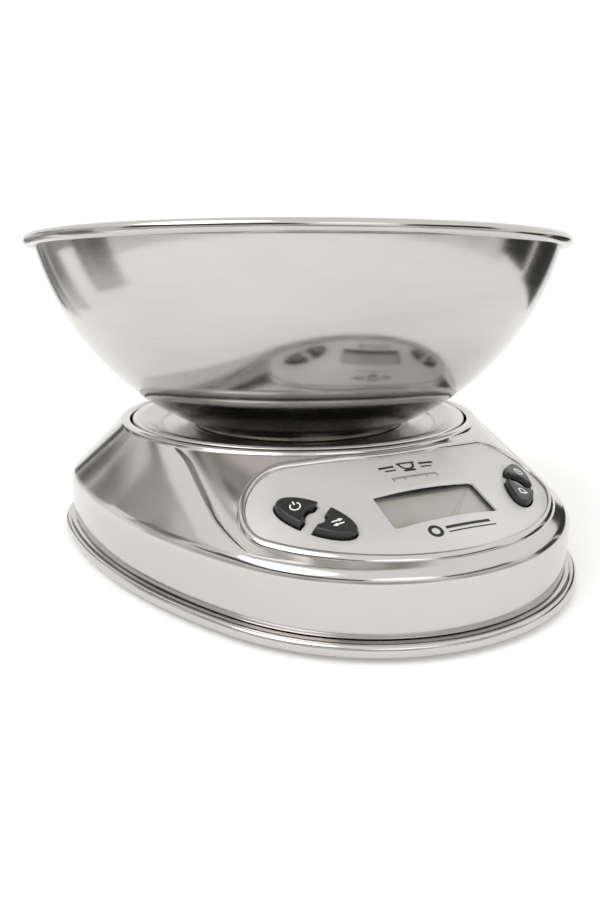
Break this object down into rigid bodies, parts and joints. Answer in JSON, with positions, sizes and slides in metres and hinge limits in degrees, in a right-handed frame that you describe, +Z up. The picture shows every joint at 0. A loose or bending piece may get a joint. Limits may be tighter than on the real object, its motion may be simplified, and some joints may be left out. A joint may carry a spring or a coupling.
{
  "type": "kitchen scale",
  "caption": "Battery kitchen scale: a lift-off steel bowl on a round weighing platform, in a steel base with a sloped display panel and buttons.",
  "frame": {"origin": "under the middle of the object's bounding box, on the table; the bowl's axis is 13.2 mm behind it, at y = +13.2 mm", "axes": "+Z up, -Y towards the user and the display, +X to the user's right"},
  "size_m": [0.216, 0.2424, 0.1202],
  "materials": {
    "brushed_bowl": "satin brushed round the axis",
    "polished_steel": "polished",
    "satin_panel": "satin",
    "charcoal_rubber": "matte",
    "foot_rubber": "matte",
    "clear_window": "clear",
    "display_glass": "grey-green",
    "dark_plastic": "moulded",
    "pale_plastic": "moulded",
    "board_green": "solder mask",
    "cell_aluminium": "machined",
    "screw_steel": "zinc plated",
    "battery_can": "sleeve",
    "lead_sleeve": "matte"
  },
  "bodies": {
    "base": {"upper_housing": "polished_steel", "base_rim": "polished_steel", "inner_frame": "dark_plastic", "bottom_cover": "dark_plastic", "rubber_feet": "foot_rubber", "housing_screws": "screw_steel", "control_plate": "satin_panel", "display_window": "clear_window", "lcd_panel": "display_glass", "lcd_holder": "pale_plastic", "zebra_strips": "charcoal_rubber", "main_board": "board_green", "board_screws": "screw_steel", "controller_chip": "dark_plastic", "tact_switches": "dark_plastic", "buzzer": "dark_plastic", "load_cell": "cell_aluminium", "load_cell_foot": "cell_aluminium", "load_cell_foot_screws": "screw_steel", "battery_1": "battery_can", "battery_2": "battery_can", "battery_springs": "screw_steel", "battery_contacts": "screw_steel", "battery_leads": "lead_sleeve", "load_cell_leads": "lead_sleeve"},
    "platform": {"platform_tray": "polished_steel", "platform_carrier": "dark_plastic", "load_cell_spacer": "cell_aluminium", "load_cell_head_screws": "screw_steel"},
    "bowl": {"bowl": "brushed_bowl"},
    "tare_button": {"tare_button": "charcoal_rubber"},
    "unit_button": {"unit_button": "charcoal_rubber"},
    "timer_button": {"timer_button": "charcoal_rubber"},
    "alarm_button": {"alarm_button": "charcoal_rubber"},
    "battery_door": {"battery_door": "dark_plastic"}
  },
  "joints": [
    {"name": "platform_press", "type": "slide", "parent": "base", "child": "platform", "axis": [0, 0, -1], "range_m": [0, 0.0005], "stiffness_N_per_m": 60000, "springref_m": -0.00015, "deforming": ["load_cell"]},
    {"name": "bowl_lift", "type": "slide", "parent": "platform", "child": "bowl", "axis": [0, 0, 1], "range_m": [0, 0.15]},
    {"name": "tare_button_press", "type": "slide", "parent": "base", "child": "tare_button", "axis": [0, 0.4006, -0.9163], "range_m": [0, 0.0008], "stiffness_N_per_m": 1500, "springref_m": -0.0002},
    {"name": "unit_button_press", "type": "slide", "parent": "base", "child": "unit_button", "axis": [0, 0.4006, -0.9163], "range_m": [0, 0.0008], "stiffness_N_per_m": 1500, "springref_m": -0.0002},
    {"name": "timer_button_press", "type": "slide", "parent": "base", "child": "timer_button", "axis": [0, 0.4006, -0.9163], "range_m": [0, 0.0008], "stiffness_N_per_m": 1500, "springref_m": -0.0002},
    {"name": "alarm_button_press", "type": "slide", "parent": "base", "child": "alarm_button", "axis": [0, 0.4006, -0.9163], "range_m": [0, 0.0008], "stiffness_N_per_m": 1500, "springref_m": -0.0002},
    {"name": "battery_door_hinge", "type": "hinge", "parent": "base", "child": "battery_door", "pos_m": [0, 0.052, 0.0032], "axis": [-1, 0, 0], "range_deg": [0, 80]}
  ]
}
